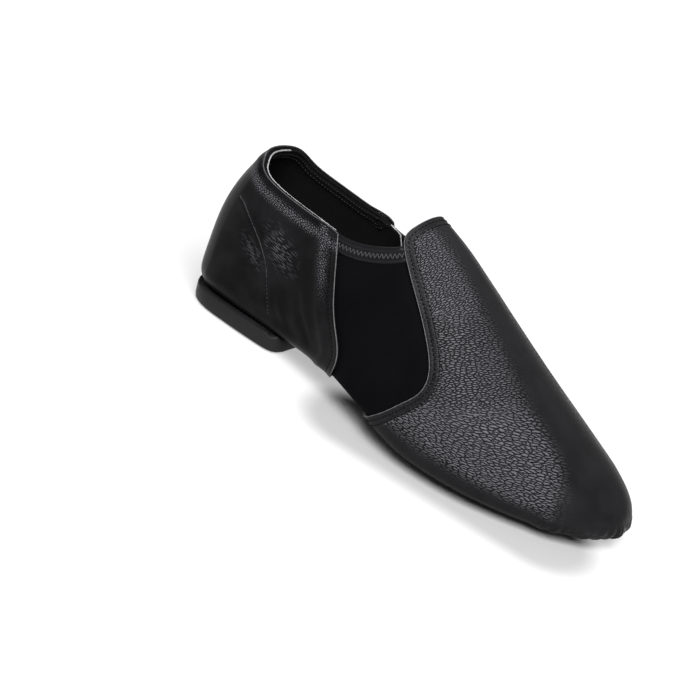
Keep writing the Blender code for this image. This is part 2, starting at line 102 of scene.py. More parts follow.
def settle(piece):
    for vertex in piece.data.vertices:
        x, y, z = vertex.co / mm
        sag = collarSet["sag"] * blendStep(*collarSet["sagFrom"], x) * (1 - blendStep(*collarSet["sagTo"], x))
        sag *= blendStep(*collarSet["sagHeight"], z) * blendStep(*collarSet["sagSide"], y)
        back = collarSet["tabBack"] if x > collarSet["tabRear"] else 0.0
        back *= blendStep(*collarSet["tabFrom"], -x) * blendStep(*collarSet["tabHeight"], z)
        away = (Vector((x, abs(y), z)) - Vector(collarSet["corner"])).length / collarSet["cornerReach"]
        pull = math.exp(-away * away)
        back += pull * collarSet["cornerBack"]
        vertex.co += Vector((-back, 0.0, pull * collarSet["cornerUp"] - sag)) * mm
    piece.data.update()


def copyNode(nodeName, pieceName):
    piece = nodes[nodeName].copy()
    piece.data = nodes[nodeName].data.copy()
    piece.name = pieceName
    piece.parent = None
    for key in list(piece.keys()):
        del piece[key]
    bpy.context.scene.collection.objects.link(piece)
    pick(piece)
    bpy.ops.object.mode_set(mode="EDIT")
    bpy.ops.mesh.select_all(action="SELECT")
    bpy.ops.mesh.remove_doubles(threshold=0.01 * mm)
    bpy.ops.mesh.tris_convert_to_quads(face_threshold=math.radians(60), shape_threshold=math.pi,
                                       topology_influence=2.0)
    bpy.ops.object.mode_set(mode="OBJECT")
    piece.data.materials.clear()
    settle(piece)
    return piece


def creaseSharp(piece, angle=55):
    pick(piece)
    bpy.ops.object.mode_set(mode="EDIT")
    bpy.ops.mesh.select_all(action="DESELECT")
    bpy.ops.mesh.edges_select_sharp(sharpness=math.radians(angle))
    bpy.ops.transform.edge_crease(value=1.0)
    bpy.ops.object.mode_set(mode="OBJECT")


def surfaceTree(piece):
    points = [vertex.co.copy() for vertex in piece.data.vertices]
    return BVHTree.FromPolygons(points, [list(face.vertices) for face in piece.data.polygons])


def pointTree(points):
    tree = kdtree.KDTree(len(points))
    for k, point in enumerate(points):
        tree.insert(point, k)
    tree.balance()
    return tree


# faces grouped into sheets that end at the sharp rim edges, largest first
def faceSheets(piece, angle=60):
    bm = bmesh.new()
    bm.from_mesh(piece.data)
    bm.faces.ensure_lookup_table()
    sheetOf = [None] * len(bm.faces)
    sheets = []
    for first in bm.faces:
        if sheetOf[first.index] is not None:
            continue
        sheet = []
        waiting = [first]
        sheetOf[first.index] = len(sheets)
        while waiting:
            face = waiting.pop()
            sheet.append(face.index)
            for edge in face.edges:
                if len(edge.link_faces) == 2 and edge.calc_face_angle(0.0) < math.radians(angle):
                    for other in edge.link_faces:
                        if sheetOf[other.index] is None:
                            sheetOf[other.index] = len(sheets)
                            waiting.append(other)
        sheets.append(sheet)
    sheets.sort(key=lambda sheet: -sum(bm.faces[k].calc_area() for k in sheet))
    bm.free()
    return sheets


def keepFaces(piece, kept):
    editChosen(piece, "FACE", lambda face: face.index not in kept)
    bpy.ops.mesh.delete(type="FACE")
    bpy.ops.object.mode_set(mode="OBJECT")


# only the outer sheet of a leather solid, the one further from the sock
def keepOuterSheet(piece):
    faces = piece.data.polygons

    def offSock(sheet):
        return sum(sockTree.find_nearest(faces[k].center)[3] for k in sheet) / len(sheet)

    keepFaces(piece, set(max(faceSheets(piece)[:2], key=offSock)))


# places where a closed line turns sharply
def bendPlaces(points, bend, reach):
    count = len(points)

    def beyond(k, step):
        j = k + step
        while (points[j % count] - points[k]).length < reach * mm and abs(j - k) < count // 2:
            j += step
        return points[j % count]

    turns = [(beyond(k, 1) - points[k]).angle(points[k] - beyond(k, -1)) for k in range(count)]
    places = []
    for k in sorted(range(count), key=lambda k: -turns[k]):
        clear = all((points[k] - points[j]).length > 2 * reach * mm for j in places)
        if turns[k] > math.radians(bend) and clear:
            places.append(k)
    return sorted(places)


# open edges of a sheet as closed runs of (point, normal, inward), cut at the corners where a bend is given
def edgeRuns(piece, bend=None, reach=3.0):
    bm = bmesh.new()
    bm.from_mesh(piece.data)
    bm.normal_update()
    bm.verts.ensure_lookup_table()
    beside = {}
    for edge in bm.edges:
        if edge.is_boundary:
            for vertex in edge.verts:
                beside.setdefault(vertex.index, []).append(edge.other_vert(vertex).index)

    def station(index):
        vertex = bm.verts[index]
        ends = [bm.verts[k].co for k in beside[index]]
        tangent = (ends[-1] - ends[0]).normalized()
        middles = [face.calc_center_median() for face in vertex.link_faces]
        inward = sum(middles, Vector()) / len(middles) - vertex.co
        inward -= vertex.normal * inward.dot(vertex.normal)
        inward -= tangent * inward.dot(tangent)
        return vertex.co.copy(), vertex.normal.copy(), inward.normalized()

    runs = []
    waiting = set(beside)
    while waiting:
        loop = [min(waiting)]
        before = None
        while True:
            waiting.discard(loop[-1])
            after = [k for k in beside[loop[-1]] if k != before][0]
            if after == loop[0]:
                break
            before = loop[-1]
            loop.append(after)
        stations = [station(index) for index in loop]
        corners = bendPlaces([stop[0] for stop in stations], bend, reach) if bend else []
        for k, corner in enumerate(corners):
            last = corners[k + 1] if k + 1 < len(corners) else corners[0] + len(loop)
            runs.append([stations[j % len(loop)] for j in range(corner, last + 1)])
        if not corners:
            runs.append(stations + stations[:1])
    bm.free()
    return runs


def lengthsAlong(points):
    lengths = [0.0]
    for a, b in zip(points, points[1:]):
        lengths.append(lengths[-1] + (b - a).length)
    return lengths


def runLength(run):
    return lengthsAlong([station[0] for station in run])[-1]


def runHeight(run):
    return sum(station[0].z for station in run) / len(run)


# a line at a distance inside an edge, laid on the surface: (point, normal)
def insetPath(run, distance, tree):
    path = []
    for point, normal, inward in run:
        spot, facing, index, away = tree.find_nearest(point + inward * distance)
        path.append((spot, normal if facing.dot(normal) < 0 else facing))
    return path


# even steps along a line: (point, normal, tangent)
def spread(path, pitch):
    lengths = lengthsAlong([station[0] for station in path])
    count = max(2, round(lengths[-1] / pitch))
    spots = []
    k = 0
    for step in range(count + 1):
        target = lengths[-1] * step / count
        while k < len(path) - 2 and lengths[k + 1] < target:
            k += 1
        t = (target - lengths[k]) / max(lengths[k + 1] - lengths[k], 1e-9)
        point, normal = (path[k][j].lerp(path[k + 1][j], t) for j in (0, 1))
        spots.append((point, normal.normalized()))
    whole = []
    for k, (point, normal) in enumerate(spots):
        ahead = spots[min(k + 1, count)][0] - spots[max(k - 1, 0)][0]
        whole.append((point, normal, ahead.normalized()))
    return whole


# smooth line through a few given points, in mm, laid on a surface
def handPath(points, tree, steps=16):
    corners = [Vector(point) * mm for point in points]
    path = []
    for k in range(len(corners) - 1):
        a, b, c, d = (corners[min(max(k + j, 0), len(corners) - 1)] for j in (-1, 0, 1, 2))
        for step in range(steps + (k == len(corners) - 2)):
            t = step / steps
            point = b + 0.5 * t * (c - a + t * (2 * a - 5 * b + 4 * c - d + t * (3 * (b - c) + d - a)))
            spot, normal, index, away = tree.find_nearest(point)
            path.append((spot, normal))
    return path


# moves points along their normals; all the moves are worked out before any is made
def swell(piece, height):
    moves = [vertex.normal * height(vertex) for vertex in piece.data.vertices]
    for vertex, move in zip(piece.data.vertices, moves):
        vertex.co += move
    piece.data.update()


# soft trough (depth over zero) or ridge (under zero) along a line, dying out over a share of its ends
def press(piece, path, depth, width, fade=0.0):
    tree = pointTree([station[0] for station in path])

    def height(vertex):
        spot, k, away = tree.find(vertex.co)
        if away > 2.5 * width:
            return 0.0
        ends = min(k, len(path) - 1 - k) / max(fade * len(path), 1.0) if fade else 1.0
        return -depth * min(ends, 1.0) * math.exp(-(away / width) ** 2)

    swell(piece, height)


# evens out the chosen points of a mesh
def relax(piece, chosen, repeat):
    editChosen(piece, "VERT", lambda vertex: chosen(vertex.co))
    bpy.ops.mesh.vertices_smooth(factor=0.5, repeat=repeat)
    bpy.ops.object.mode_set(mode="OBJECT")


# copies of one small shape in one mesh
def plantCopies(name, template, places):
    points = [vertex.co.copy() for vertex in template.data.vertices]
    loops = [list(face.vertices) for face in template.data.polygons]
    allPoints = []
    allLoops = []
    for place in places:
        start = len(allPoints)
        allPoints += [place @ point for point in points]
        allLoops += [[start + k for k in loop] for loop in loops]
    mesh = bpy.data.meshes.new(name)
    mesh.from_pydata(allPoints, [], allLoops)
    mesh.update()
    piece = bpy.data.objects.new(name, mesh)
    bpy.context.scene.collection.objects.link(piece)
    bpy.data.objects.remove(template, do_unlink=True)
    smooth(piece, 60)
    return piece


def standing(point, normal, tangent):
    side = normal.cross(tangent).normalized()
    turn = Matrix((side.cross(normal), side, normal)).transposed().to_4x4()
    return Matrix.Translation(point) @ turn


# one thread stitch: a bean lying along X
def stitchShape(length, thickness):
    bpy.ops.object.select_all(action="DESELECT")
    bpy.ops.mesh.primitive_uv_sphere_add(segments=6, ring_count=5, radius=1.0)
    stitch = bpy.context.object
    bpy.ops.object.mode_set(mode="EDIT")
    bpy.ops.transform.rotate(value=math.pi / 2, orient_axis="Y", center_override=(0, 0, 0))
    bpy.ops.transform.resize(value=(0.5 * length, 0.5 * thickness, 0.5 * thickness))
    bpy.ops.object.mode_set(mode="OBJECT")
    return stitch


def stitchRow(name, path, row, material):
    spots = spread(path, row["pitch"] * mm)
    places = [standing(p + n * row["lift"] * mm, n, t) for p, n, t in spots[1:-1]]
    piece = plantCopies(name, stitchShape(row["length"] * mm, row["thread"] * mm), places)
    piece.data.materials.append(material)
    return seat(piece, row["slot"])


# grid of rows laid point by point, thickened under its face
def layGrid(name, rows, wall):
    columns = len(rows[0])
    bpy.ops.object.select_all(action="DESELECT")
    bpy.ops.mesh.primitive_grid_add(x_subdivisions=columns - 1, y_subdivisions=len(rows) - 1, size=1.0)
    piece = bpy.context.object
    piece.name = name
    for k, vertex in enumerate(piece.data.vertices):
        vertex.co = rows[k // columns][k % columns]
    piece.data.update()
    thicken(piece, wall)
    smooth(piece)
    return piece


# thin bead of cut edge along a line
def edgeBead(name, points, thickness, material, slot, closed=False, taper=1.0):
    curve = bpy.data.curves.new(name, "CURVE")
    curve.dimensions = "3D"
    curve.bevel_depth = 0.5 * thickness * mm
    curve.bevel_resolution = 1
    curve.use_fill_caps = True
    spline = curve.splines.new("POLY")
    spline.points.add(len(points) - 1)
    for k, (knot, point) in enumerate(zip(spline.points, points)):
        knot.co = (*point, 1.0)
        knot.radius = 1.0 + (taper - 1.0) * k / (len(points) - 1)
    spline.use_cyclic_u = closed
    piece = bpy.data.objects.new(name, curve)
    bpy.context.scene.collection.objects.link(piece)
    pick(piece)
    bpy.ops.object.convert(target="MESH")
    piece.data.materials.clear()
    piece.data.materials.append(material)
    smooth(piece, 60)
    return seat(piece, slot)


# a cut edge of leather, sunk a little into its rim
def cutBead(name, run, material, slot, closed=False):
    points = [point - normal * 0.2 * mm for point, normal, inward in run]
    return edgeBead(name, points, 0.5, material, slot, closed=closed)


def seat(piece, slot, *replaced):
    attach(piece, "root")
    for node in replaced:
        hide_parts(node)
    return piece


# per-point number that a material reads
def paint(piece, name, value):
    layer = piece.data.attributes.new(name, "FLOAT", "POINT")
    layer.data.foreach_set("value", [value(vertex) for vertex in piece.data.vertices])


# materials
def newMaterial(name, look, **sockets):
    mat = bpy.data.materials.new(name)
    mat.use_nodes = True
    shader = mat.node_tree.nodes["Principled BSDF"]
    shader.inputs["Base Color"].default_value = (*look["dark"], 1.0)
    shader.inputs["Roughness"].default_value = look["rough"]
    shader.inputs["Specular IOR Level"].default_value = look["specular"]
    for socket, value in sockets.items():
        shader.inputs[socket].default_value = value
    return mat


def addNode(mat, kind, inputs=None, **settings):
    node = mat.node_tree.nodes.new("ShaderNode" + kind)
    for name, value in settings.items():
        setattr(node, name, value)
    for name, value in (inputs or {}).items():
        if isinstance(value, bpy.types.NodeSocket):
            mat.node_tree.links.new(value, node.inputs[name])
        else:
            node.inputs[name].default_value = value
    return node


def wire(mat, output, socket):
    mat.node_tree.links.new(output, mat.node_tree.nodes["Principled BSDF"].inputs[socket])


def objectPoint(mat):
    return addNode(mat, "TexCoord").outputs["Object"]


def combine(mat, operation, a, b):
    return addNode(mat, "Math", {0: a, 1: b}, operation=operation).outputs["Value"]


def vectorNode(mat, operation, a, b):
    return addNode(mat, "VectorMath", {0: a, 1: b}, operation=operation).outputs


def noise(mat, point, scale, detail=2.0):
    return addNode(mat, "TexNoise", {"Vector": point, "Scale": scale, "Detail": detail}).outputs["Fac"]


# relief of a given depth in mm, over another relief where one is given
def relief(mat, height, strength, depth, **under):
    inputs = {"Height": height, "Strength": strength, "Distance": depth * mm, **under}
    return addNode(mat, "Bump", inputs).outputs["Normal"]


# the same place on either side of the shoe, so that the grain runs alike on both
def sidePoint(mat):
    parts = addNode(mat, "SeparateXYZ", {"Vector": objectPoint(mat)}).outputs
    side = combine(mat, "MULTIPLY", combine(mat, "ABSOLUTE", parts["Y"], 0.0), -1.0)
    return addNode(mat, "CombineXYZ", {"X": parts["X"], "Y": side, "Z": parts["Z"]}).outputs["Vector"]


# pattern space along given axes, counted in cells of given sizes in mm
def turnedCells(mat, point, axes, sizes):
    parts = []
    for axis, size in zip(axes, sizes):
        along = Vector(axis).normalized() / (size * mm)
        parts.append(vectorNode(mat, "DOT_PRODUCT", point, along)["Value"])
    return addNode(mat, "CombineXYZ", dict(zip("XYZ", parts))).outputs["Vector"]


def tone(mat, value, look):
    ramp = addNode(mat, "ValToRGB", {"Fac": value})
    ramp.color_ramp.elements[0].color = (*look["dark"], 1.0)
    ramp.color_ramp.elements[1].color = (*look["light"], 1.0)
    return ramp.outputs["Color"]


def rangeOf(mat, value, low, high, newLow, newHigh, blend="LINEAR"):
    limits = {"Value": value, "From Min": low, "From Max": high, "To Min": newLow, "To Max": newHigh}
    return addNode(mat, "MapRange", limits, interpolation_type=blend).outputs["Result"]


# what both leathers share: "rise" in cells, "wander" and "poreDepth" in mm, scales of the noises per metre
hide = {"drift": 0.5, "rise": 0.2, "slope": 0.15, "clouds": 60.0, "wander": 8.0, "foldSink": 0.15,
        "pores": 2600.0, "poreBump": 0.25, "poreDepth": 0.05, "patches": (0.3, 0.7),
        "toneDrift": (-0.02, 0.04), "roughDrift": (-0.04, 0.04)}


# pebbles of the grain: distance from the crease round each one, here and a little further up; the difference
# gives the painted light on the upper flanks
def pebbleCells(mat, point, field):
    sized = turnedCells(mat, point, field["axes"], field["pebble"])
    drift = addNode(mat, "TexNoise", {"Vector": sized, "Scale": hide["drift"]}).outputs["Color"]
    swayed = addNode(mat, "VectorMath", {0: drift, 1: (field["sway"],) * 3, 2: sized},
                     operation="MULTIPLY_ADD").outputs["Vector"]
    heights = []
    for rise in (0.0, hide["rise"]):
        spot = vectorNode(mat, "ADD", swayed, (0.0, rise, 0.0))["Vector"]
        cells = addNode(mat, "TexVoronoi", {"Vector": spot, "Scale": 1.0}, feature="DISTANCE_TO_EDGE",
                        voronoi_dimensions="2D")
        heights.append(cells.outputs["Distance"])
    return heights


# painted highlight and shade: how far the tops and upper flanks of the pebbles are painted light, as if lit
# from above, with the lower flanks and creases left dark as painted shade, 0 to 1
def paintedTopLight(mat, cells, above, domes, look):
    rise = combine(mat, "SUBTRACT", cells, above)
    flank = rangeOf(mat, rise, -hide["slope"], hide["slope"], 0.0, look["flank"])
    topLight = combine(mat, "ADD", flank, combine(mat, "MULTIPLY", domes, 1.0 - look["flank"]))
    return rangeOf(mat, topLight, *look["cut"], 0.0, 1.0)


# pebbles of all the fields, each next field taking over past its border: cells, cells further up, gain of the
# painted highlight
def blendFields(mat, point, clouds, look):
    cells, above = pebbleCells(mat, point, look["fields"][0])
    gain = look["fields"][0]["gain"]
    for field in look["fields"][1:]:
        height = vectorNode(mat, "DOT_PRODUCT", point, look["borderAxis"])["Value"]
        wander = rangeOf(mat, clouds, 0.0, 1.0, -hide["wander"] * mm, hide["wander"] * mm)
        place = combine(mat, "ADD", height, wander)
        share = rangeOf(mat, place, field["border"][0] * mm, field["border"][1] * mm, 0.0, 1.0)
        nextCells, nextAbove = pebbleCells(mat, point, field)
        cells = rangeOf(mat, share, 0.0, 1.0, cells, nextCells)
        above = rangeOf(mat, share, 0.0, 1.0, above, nextAbove)
        gain = rangeOf(mat, share, 0.0, 1.0, gain, field["gain"])
    return cells, above, gain


# leather: pebbles masked by "grain", fine folds masked by "crinkle", and pores; its colour holds painted
# highlights on the pebble tops and fold ridges and painted shade in the creases
def makeLeather(name, look):
    mat = newMaterial(name, look, **{"Coat Weight": look["coat"], "Coat Roughness": look["coatRough"]})
    point = sidePoint(mat)
    clouds = noise(mat, point, hide["clouds"], 3.0)
    grain = addNode(mat, "Attribute", attribute_name="grain").outputs["Fac"]
    crinkle = addNode(mat, "Attribute", attribute_name="crinkle").outputs["Fac"]
    cells, above, gain = blendFields(mat, point, clouds, look)
    foldCells, foldAbove = pebbleCells(mat, point, look["fold"])
    domes, foldDomes = (rangeOf(mat, distance, 0.0, look["dome"], 0.0, 1.0, "SMOOTHSTEP")
                        for distance in (cells, foldCells))

    pebbleBump = rangeOf(mat, grain, 0.0, 1.0, look["grainLow"], 1.0)
    pebbled = relief(mat, domes, pebbleBump, look["depth"])
    creased = relief(mat, foldDomes, crinkle, look["foldDepth"], Normal=pebbled)
    pores = noise(mat, point, hide["pores"], 3.0)
    fine = relief(mat, pores, hide["poreBump"], hide["poreDepth"], Normal=creased)
    wire(mat, fine, "Normal")

    # painted highlight on the pebble tops; towards the edge of a mask only the highest tops are left
    topLight = combine(mat, "MULTIPLY", paintedTopLight(mat, cells, above, domes, look), gain)
    sunk = combine(mat, "SUBTRACT", topLight, rangeOf(mat, grain, 0.0, 1.0, look["sink"], 0.0))
    tops = rangeOf(mat, grain, 0.0, 0.5, look["plain"], combine(mat, "MAXIMUM", sunk, 0.0))
    # painted highlight on the ridges of the fine folds
    ridges = combine(mat, "SUBTRACT", paintedTopLight(mat, foldCells, foldAbove, foldDomes, look),
                     rangeOf(mat, crinkle, 0.0, 1.0, 1.0, hide["foldSink"]))
    # the painted highlights, with a random drift of tone
    lit = combine(mat, "ADD", combine(mat, "MAXIMUM", tops, ridges),
                  rangeOf(mat, clouds, *hide["patches"], *hide["toneDrift"]))
    wire(mat, tone(mat, lit, look), "Base Color")

    valleys = combine(mat, "MULTIPLY", combine(mat, "SUBTRACT", 1.0, domes), grain)
    dull = rangeOf(mat, valleys, 0.0, 1.0, look["rough"], look["valleyRough"])
    uneven = rangeOf(mat, clouds, *hide["patches"], *hide["roughDrift"])
    wire(mat, combine(mat, "ADD", dull, uneven), "Roughness")
    return mat


# knitted face of the stretch cloth: a fine even stitch with a soft bloom
def makeStretch(name, look):
    mat = newMaterial(name, look, **{"Sheen Weight": look["sheen"], "Sheen Roughness": 0.45})
    point = objectPoint(mat)
    knit = addNode(mat, "TexVoronoi", {"Vector": point, "Scale": 1 / (look["knit"] * mm)})
    clouds = noise(mat, point, 45.0)
    wire(mat, relief(mat, knit.outputs["Distance"], look["bump"], 0.12), "Normal")
    wire(mat, tone(mat, clouds, look), "Base Color")
    return mat


# woven cloth: two crossed waves
def makeWeave(name, look):
    mat = newMaterial(name, look)
    point = objectPoint(mat)
    wave = {"Vector": point, "Scale": 0.314 / (look["thread"] * mm), "Distortion": 0.5, "Detail": 1.0}
    warp, weft = (addNode(mat, "TexWave", wave, bands_direction=direction).outputs["Fac"]
                  for direction in ("X", "Z"))
    fuzz = noise(mat, point, 900.0, 3.0)
    height = combine(mat, "ADD", combine(mat, "MULTIPLY", warp, weft), fuzz)
    wire(mat, relief(mat, height, 0.5, 0.1), "Normal")
    wire(mat, tone(mat, fuzz, look), "Base Color")
    return mat


# moulded rubber: faint haze and scuffs
def makeRubber(name, look):
    mat = newMaterial(name, look)
    point = objectPoint(mat)
    haze = noise(mat, point, 70.0, 5.0)
    wire(mat, relief(mat, noise(mat, point, 2200.0), 0.3, 0.06), "Normal")
    wire(mat, tone(mat, haze, look), "Base Color")
    scuffs = rangeOf(mat, haze, 0.3, 0.7, look["rough"] - 0.08, look["rough"] + 0.08)
    wire(mat, scuffs, "Roughness")
    return mat


# cut edge: grey fibres
def makeCutEdge(name, look):
    mat = newMaterial(name, look)
    fibres = noise(mat, objectPoint(mat), 700.0, 4.0)
    wire(mat, relief(mat, fibres, 0.6, 0.15), "Normal")
    wire(mat, tone(mat, fibres, look), "Base Color")
    return mat


# the vamp's grain runs up over the tab, level on the slope and down along the foot; borders are heights in
# mm; each field's gain sets how bright the painted highlight of its pebble tops is
vampLook = {
    "dark": (0.0015, 0.0015, 0.0018), "light": (0.086, 0.086, 0.094), "rough": 0.40, "valleyRough": 0.70,
    "specular": 0.08, "coat": 0.0, "coatRough": 0.3, "dome": 0.26, "depth": 0.50, "grainLow": 0.02,
    "plain": 0.070, "flank": 0.65, "cut": (0.29, 0.92), "sink": 0.55, "borderAxis": (-0.509, 0.195, 0.839),
    "fields": (
        {"axes": ((0.933, 0.348, 0.094), (-0.163, 0.175, 0.970)), "pebble": (2.9, 1.0), "sway": 0.8,
         "gain": 1.35},
        {"axes": ((0.774, 0.530, 0.346), (-0.559, 0.338, 0.732)), "pebble": (2.2, 0.98), "sway": 0.8,
         "gain": 0.92, "border": (-5, 7)},
        {"axes": ((0.342, 0.546, 0.765), (-0.883, 0.131, 0.302)), "pebble": (1.9, 0.92), "sway": 0.8,
         "gain": 1.25, "border": (36, 48)}),
    "fold": {"axes": ((1, 0, 0), (0, 0, 1)), "pebble": (5.0, 1.3), "sway": 0.7}, "foldDepth": 0.3}
quarterLook = dict(
    vampLook, dark=(0.0016, 0.0016, 0.0020), light=(0.110, 0.110, 0.120), rough=0.36, specular=0.07,
    depth=0.40, grainLow=0.01, plain=0.006, cut=(0.40, 1.0), sink=0.75,
    fields=({"axes": ((0.97, -0.9, -0.24), (0.24, 0, 0.97)), "pebble": (1.1, 0.95), "sway": 0.7,
             "gain": 1.1},),
    fold={"axes": ((0.985, 0, -0.17), (0.17, 0, 0.985)), "pebble": (5.5, 1.05), "sway": 1.3}, foldDepth=0.30)
stretchLook = {
    "dark": (0.0014, 0.0014, 0.0020), "light": (0.0036, 0.0036, 0.0045), "rough": 0.7, "specular": 0.02,
    "sheen": 0.002, "knit": 0.45, "bump": 0.35}
bandLook = dict(
    stretchLook, dark=(0.003, 0.003, 0.0038), light=(0.0065, 0.0065, 0.0076), specular=0.14, rough=0.45,
    sheen=0.01, bump=0.5)
liningLook = {
    "dark": (0.003, 0.003, 0.0034), "light": (0.006, 0.006, 0.0066), "rough": 0.85, "specular": 0.08,
    "thread": 0.5}
insoleLook = dict(liningLook, dark=(0.007, 0.007, 0.008), light=(0.012, 0.012, 0.013))
treadLook = {"dark": (0.018, 0.018, 0.019), "light": (0.030, 0.030, 0.031), "rough": 0.55, "specular": 0.3}
heelLook = dict(
    treadLook, dark=(0.0085, 0.0085, 0.0092), light=(0.0135, 0.0135, 0.0145), rough=0.48, specular=0.14)
cutLook = {"dark": (0.045, 0.045, 0.047), "light": (0.155, 0.155, 0.160), "rough": 0.85, "specular": 0.2}
topLook = dict(cutLook, dark=(0.03, 0.03, 0.032), light=(0.11, 0.11, 0.115))
# painted highlight: the light grey of the seam's fold line
seamHighlightLook = dict(cutLook, dark=(0.008, 0.008, 0.009), light=(0.060, 0.060, 0.064))
rawLook = dict(cutLook, dark=(0.12, 0.12, 0.123), light=(0.55, 0.55, 0.56))
threadLook = {
    "dark": (0.0016, 0.0016, 0.0018), "light": (0.0025, 0.0025, 0.0027), "rough": 0.8, "specular": 0.08,
    "sheen": 0.0, "knit": 0.3, "bump": 0.4}
greyThreadLook = dict(
    threadLook, dark=(0.012, 0.012, 0.013), light=(0.022, 0.022, 0.024), rough=0.5, specular=0.3)
zigzagLook = dict(greyThreadLook, dark=(0.026, 0.026, 0.028), light=(0.060, 0.060, 0.065))

vampLeather = makeLeather("vampLeather", vampLook)
quarterLeather = makeLeather("quarterLeather", quarterLook)
stretchCloth = makeStretch("stretchCloth", stretchLook)
bandCloth = makeStretch("bandCloth", bandLook)
liningCloth = makeWeave("liningCloth", liningLook)
insoleCloth = makeWeave("insoleCloth", insoleLook)
treadRubber = makeRubber("treadRubber", treadLook)
heelRubber = makeRubber("heelRubber", heelLook)
cutEdge = makeCutEdge("cutEdge", cutLook)
topEdge = makeCutEdge("topEdge", topLook)
seamFoldHighlight = makeCutEdge("seamFoldHighlight", seamHighlightLook)
rawEdge = makeCutEdge("rawEdge", rawLook)
threadBlack = makeStretch("threadBlack", threadLook)
threadGrey = makeStretch("threadGrey", greyThreadLook)
threadZigzag = makeStretch("threadZigzag", zigzagLook)
print("materials ready")


# sock of stretch cloth, lining on its inner sheet and on the rim of the collar
sockShape = {"levels": 2, "rimFront": -0.022, "collar": 0.060}
sock = copyNode("upper", "sockUpper")
sheets = faceSheets(sock)
sockTree = surfaceTree(sock)
sock.data.materials.append(stretchCloth)
sock.data.materials.append(liningCloth)
for index in sheets[1]:
    sock.data.polygons[index].material_index = 1
for sheet in sheets[2:]:
    for index in sheet:
        middle = sock.data.polygons[index].center
        if middle.z > sockShape["collar"] and middle.x < sockShape["rimFront"]:
            sock.data.polygons[index].material_index = 1
guide = copyNode("upper", "collarGuide")
keepFaces(guide, set(sheets[0]))
subdivide(guide, 3)
guideSkin = surfaceTree(guide)
collarRun = max(edgeRuns(guide), key=runHeight)
bpy.data.objects.remove(guide, do_unlink=True)
creaseSharp(sock)
subdivide(sock, sockShape["levels"])
smooth(sock)
sockSkin = surfaceTree(sock)
seat(sock, "stretch_cloth", "upper")
print("sock ready", len(sock.data.polygons))


# vamp: pebbled slopes, smooth toe and ridge, two stitch rows by the edge, gathers round the toe patch
vampShape = {"levels": 3, "wall": 1.2, "rows": (2.0, 4.4), "groove": 0.2, "grooveWidth": 0.7, "flatZone": 5.0,
             "skive": 0.15, "tip": (0.1217, 0.0077, 0.0102), "tipReach": 7.0, "tipRelax": 24}
gathers = {"pitch": 5.4, "middle": (0.062, 0.001), "reach": 0.80, "ends": 0.14, "out": 1.4, "under": 0.5,
           "height": (10.0, 15.0), "round": 0.36, "valley": 0.02, "from": 0.07, "relax": 2,
           "count": 60, "sizes": (0.6, 1.0), "shift": 0.18, "ringSteps": 40}
vamp = copyNode("vamp", "vampPiece")
keepOuterSheet(vamp)
subdivide(vamp, vampShape["levels"])
relax(vamp, lambda point: (point - Vector(vampShape["tip"])).length < vampShape["tipReach"] * mm,
      vampShape["tipRelax"])
vampEdge = max(edgeRuns(vamp), key=runLength)
vampEdgeTree = pointTree([station[0] for station in vampEdge])


def fromVampEdge(vertex):
    return vampEdgeTree.find(vertex.co)[2] / mm


def vampSkive(vertex):
    return vampShape["skive"] * mm * (blendStep(0.0, vampShape["flatZone"], fromVampEdge(vertex)) - 1.0)


swell(vamp, vampSkive)
vampSkin = surfaceTree(vamp)

# outline of the toe patch, turn by turn, to count the gathers along it
patchRing = {}
for vertex in nodes["forefoot_sole"].data.vertices:
    spot = vertex.co.xy - Vector(gathers["middle"])
    turn = round(math.atan2(spot.y, spot.x) * gathers["ringSteps"])
    patchRing[turn] = max(patchRing.get(turn, spot), spot, key=lambda point: point.length)
ringTurns = sorted(patchRing)
ringLengths = lengthsAlong([patchRing[turn] for turn in ringTurns])


def alongPatch(turn):
    step = turn * gathers["ringSteps"]
    k = 0
    while k < len(ringTurns) - 2 and ringTurns[k + 1] < step:
        k += 1
    t = (step - ringTurns[k]) / (ringTurns[k + 1] - ringTurns[k])
    return ringLengths[k] + t * (ringLengths[k + 1] - ringLengths[k])


random.seed(4)
gatherSize = [random.uniform(*gathers["sizes"]) for k in range(gathers["count"])]
gatherShift = [random.uniform(-gathers["shift"], gathers["shift"]) for k in range(gathers["count"])]


def gatherHeight(vertex):
    spot = vertex.co.xy - Vector(gathers["middle"])
    turn = math.atan2(spot.y, spot.x)
    low = 1.0 - blendStep(*gathers["height"], vertex.co.z / mm)
    if abs(turn) >= gathers["reach"] or low <= 0.0:
        return 0.0
    place = alongPatch(turn) / (gathers["pitch"] * mm)
    whole = int(place)
    k = whole % gathers["count"]
    place += gatherShift[k] * math.sin(math.pi * (place - whole))
    bulge = (math.sin(math.pi * place) ** 2 + gathers["valley"]) ** gathers["round"]
    fade = blendStep(0.0, gathers["ends"], gathers["reach"] - abs(turn))
    height = bulge * gathers["out"] * gatherSize[k] - gathers["under"] * (1.0 - bulge)
    return height * low * fade * mm


swell(vamp, gatherHeight)
relax(vamp, lambda point: point.x > gathers["from"] and point.z < gathers["height"][1] * mm, gathers["relax"])
for distance in vampShape["rows"]:
    path = insetPath(vampEdge, distance * mm, vampSkin)
    press(vamp, path, vampShape["groove"] * mm, vampShape["grooveWidth"] * mm)
vampEdge = max(edgeRuns(vamp), key=runLength)


# the grain starts this far from the middle line, and the middle line bends inwards towards the toe, in mm
grainRidge = ((-20, 5.0), (-5.6, 6.1), (39.6, 10.5), (62.3, 13.5), (88.5, 15.5), (99.6, 21.0))
toeBend = 7.7 / 121.7 ** 2
grainZone = {"side": (-6.0, 13.0), "upward": (-0.12, 0.24), "toe": (84, 106), "strip": (-1.2, 0.8),
             "stripShare": 0.15}


def ridgeAt(x):
    for (fromX, low), (toX, high) in zip(grainRidge, grainRidge[1:]):
        if x <= toX:
            return low + (high - low) * max(x - fromX, 0.0) / (toX - fromX)
    return grainRidge[-1][1]
